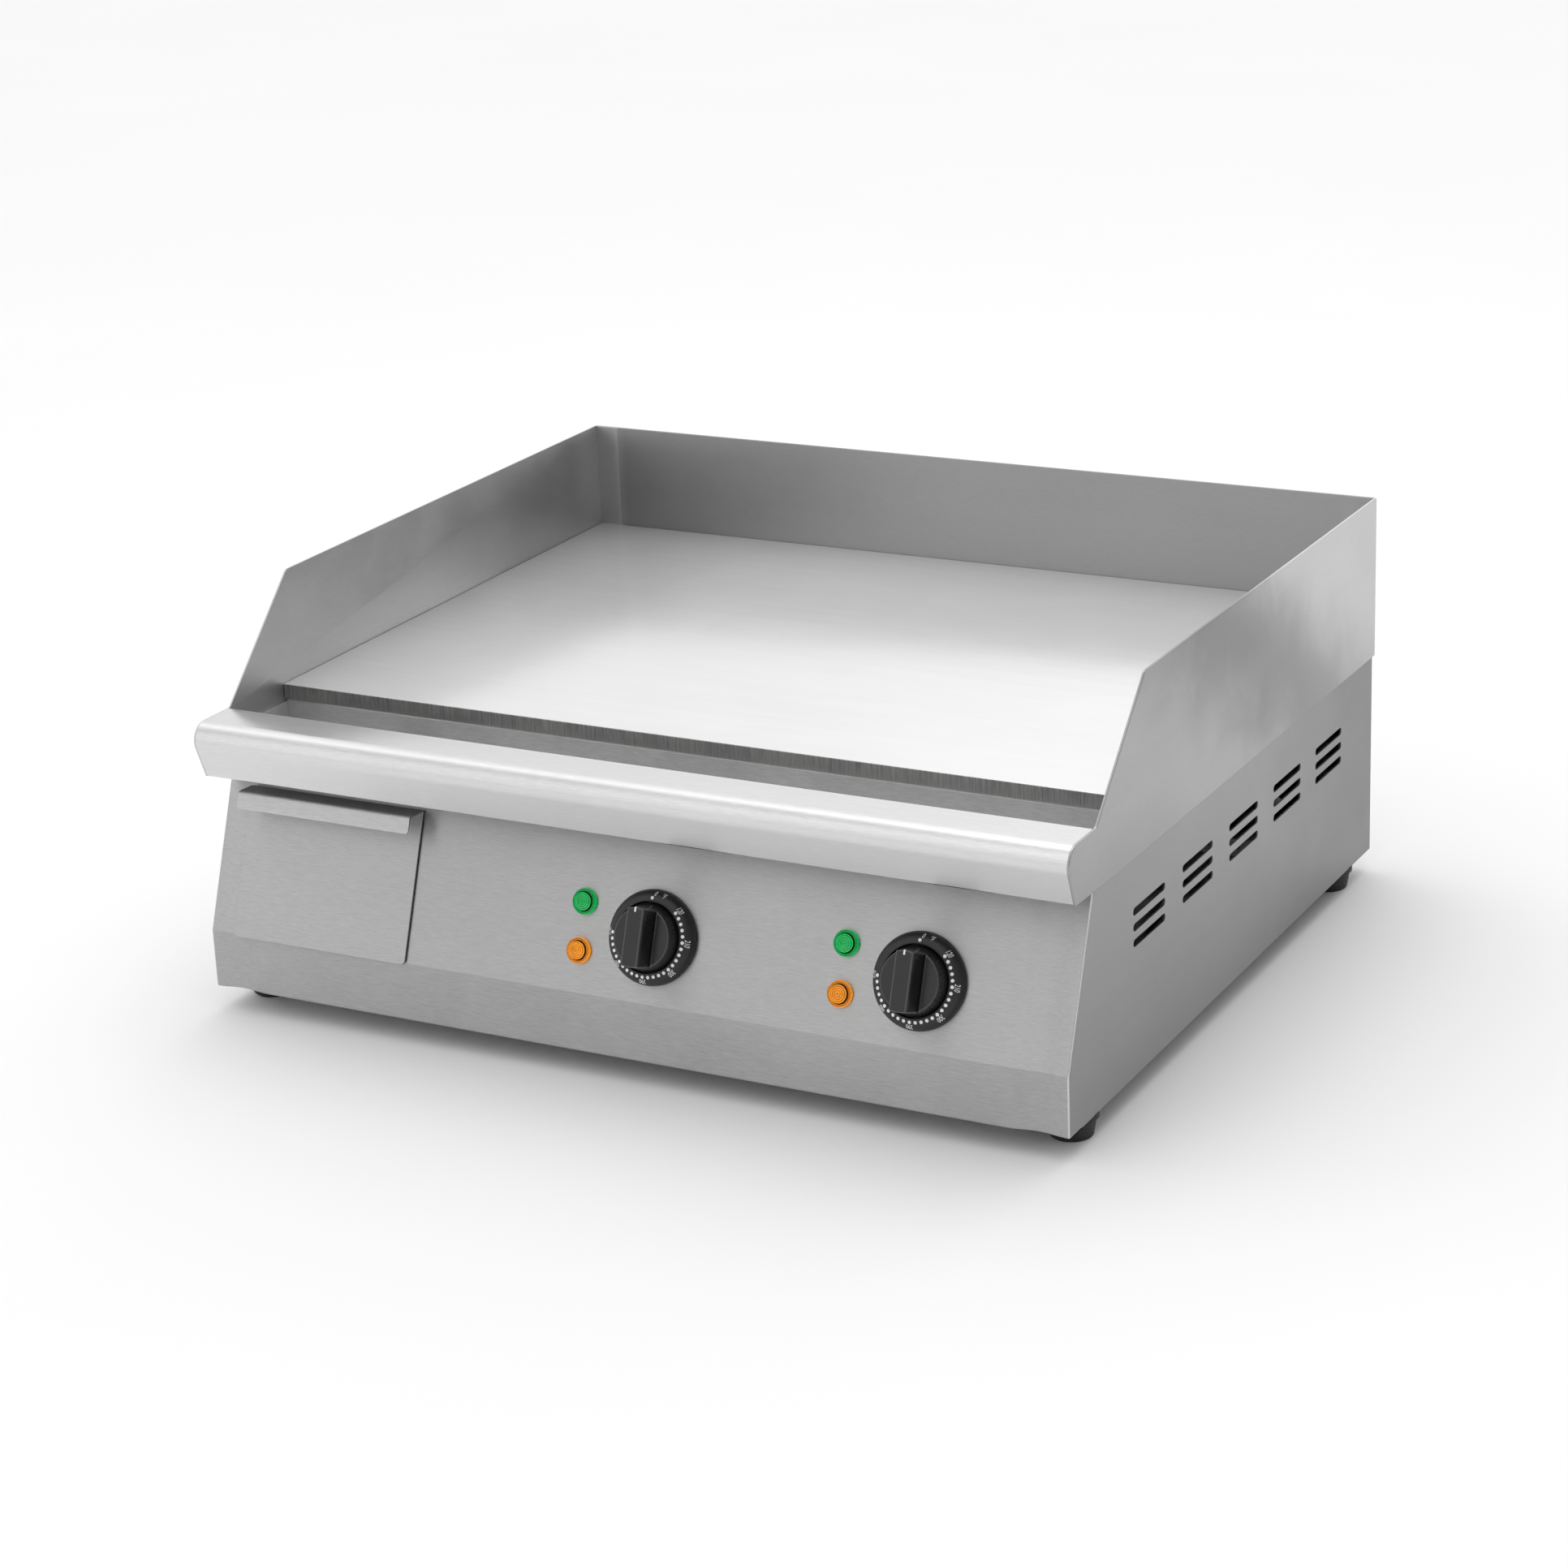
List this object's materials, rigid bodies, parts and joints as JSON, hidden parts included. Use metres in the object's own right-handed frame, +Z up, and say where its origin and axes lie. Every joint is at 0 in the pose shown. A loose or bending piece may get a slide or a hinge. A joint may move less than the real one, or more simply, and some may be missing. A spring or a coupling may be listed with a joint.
{
  "type": "electric griddle",
  "caption": "Countertop electric griddle with a flat steel plate, U-shaped splash guard, front grease trough, side grease drawer, two thermostat knobs and lamp pairs.",
  "frame": {"origin": "bottom of the feet, in the middle of the overall width and depth", "axes": "+X to the user's right, -Y towards the user, +Z up"},
  "size_m": [0.6, 0.545, 0.263],
  "materials": {
    "casing_steel": "brushed, satin",
    "guard_steel": "brushed, satin",
    "ledge_steel": "brushed and polished",
    "trough_steel": "satin",
    "plate_steel": "ground and polished",
    "foot_rubber": "matt",
    "drawer_steel": "brushed, satin",
    "knob_plastic": "fine moulded texture",
    "dial_plastic": "fine moulded texture with white printed scale",
    "green_lens": "clear moulded",
    "amber_lens": "clear moulded",
    "lamp_plastic": "moulded",
    "zinc_steel": "zinc plated",
    "fastener_steel": "bright",
    "brass_parts": "machined",
    "copper_tube": "drawn copper",
    "heater_steel": "oxidised sheath",
    "ceramic_fibre": "soft fibre",
    "cutout_plastic": "moulded",
    "red_plastic": "moulded",
    "ceramic_block": "unglazed",
    "black_wire": "sleeved",
    "glass_sleeve": "woven glass sleeve",
    "gland_plastic": "moulded"
  },
  "bodies": {
    "casing": {"splash_guard": "guard_steel", "front_ledge": "ledge_steel", "griddle_plate": "plate_steel", "grease_trough": "trough_steel", "drain_spout": "trough_steel", "left_side_panel": "casing_steel", "right_side_panel": "casing_steel", "control_panel": "casing_steel", "rear_panel": "casing_steel", "base_plate": "casing_steel", "front_left_foot": "foot_rubber", "front_right_foot": "foot_rubber", "rear_left_foot": "foot_rubber", "rear_right_foot": "foot_rubber", "foot_screws": "fastener_steel", "left_drawer_guide": "zinc_steel", "right_drawer_guide": "zinc_steel", "left_dial_ring": "dial_plastic", "right_dial_ring": "dial_plastic", "left_thermostat": "zinc_steel", "right_thermostat": "zinc_steel", "thermostat_screws": "brass_parts", "left_capillary": "copper_tube", "right_capillary": "copper_tube", "bulb_clips": "zinc_steel", "left_power_lens": "green_lens", "left_heating_lens": "amber_lens", "right_power_lens": "green_lens", "right_heating_lens": "amber_lens", "left_power_lamp": "lamp_plastic", "left_heating_lamp": "lamp_plastic", "right_power_lamp": "lamp_plastic", "right_heating_lamp": "lamp_plastic", "left_heating_element": "heater_steel", "right_heating_element": "heater_steel", "element_clamps": "zinc_steel", "clamp_nuts": "fastener_steel", "insulation_blanket": "ceramic_fibre", "insulation_pan": "zinc_steel", "left_safety_cutout": "cutout_plastic", "right_safety_cutout": "cutout_plastic", "terminal_block": "ceramic_block", "mains_loom": "black_wire", "left_zone_loom": "glass_sleeve", "right_zone_loom": "glass_sleeve", "cable_gland": "gland_plastic", "gland_locknut": "gland_plastic", "earth_stud": "brass_parts", "earth_nuts": "brass_parts", "casing_screws": "fastener_steel"},
    "left_control": {"left_knob": "knob_plastic", "left_thermostat_shaft": "fastener_steel"},
    "right_control": {"right_knob": "knob_plastic", "right_thermostat_shaft": "fastener_steel"},
    "drawer": {"drawer_front": "drawer_steel", "drawer_tray": "drawer_steel"},
    "left_reset": {"left_reset_button": "red_plastic"},
    "right_reset": {"right_reset_button": "red_plastic"}
  },
  "joints": [
    {"name": "left_knob_turn", "type": "hinge", "parent": "casing", "child": "left_control", "pos_m": [0.0215, -0.24067, 0.09248], "axis": [0, 0.9354, -0.3535], "range_deg": [0, 270]},
    {"name": "right_knob_turn", "type": "hinge", "parent": "casing", "child": "right_control", "pos_m": [0.1995, -0.24067, 0.09248], "axis": [0, 0.9354, -0.3535], "range_deg": [0, 270]},
    {"name": "drawer_slide", "type": "slide", "parent": "casing", "child": "drawer", "axis": [0, -1, 0], "range_m": [0, 0.28]},
    {"name": "left_reset_press", "type": "slide", "parent": "casing", "child": "left_reset", "axis": [0, -1, 0], "range_m": [0, 0.002], "stiffness_N_per_m": 600},
    {"name": "right_reset_press", "type": "slide", "parent": "casing", "child": "right_reset", "axis": [0, -1, 0], "range_m": [0, 0.002], "stiffness_N_per_m": 600}
  ]
}
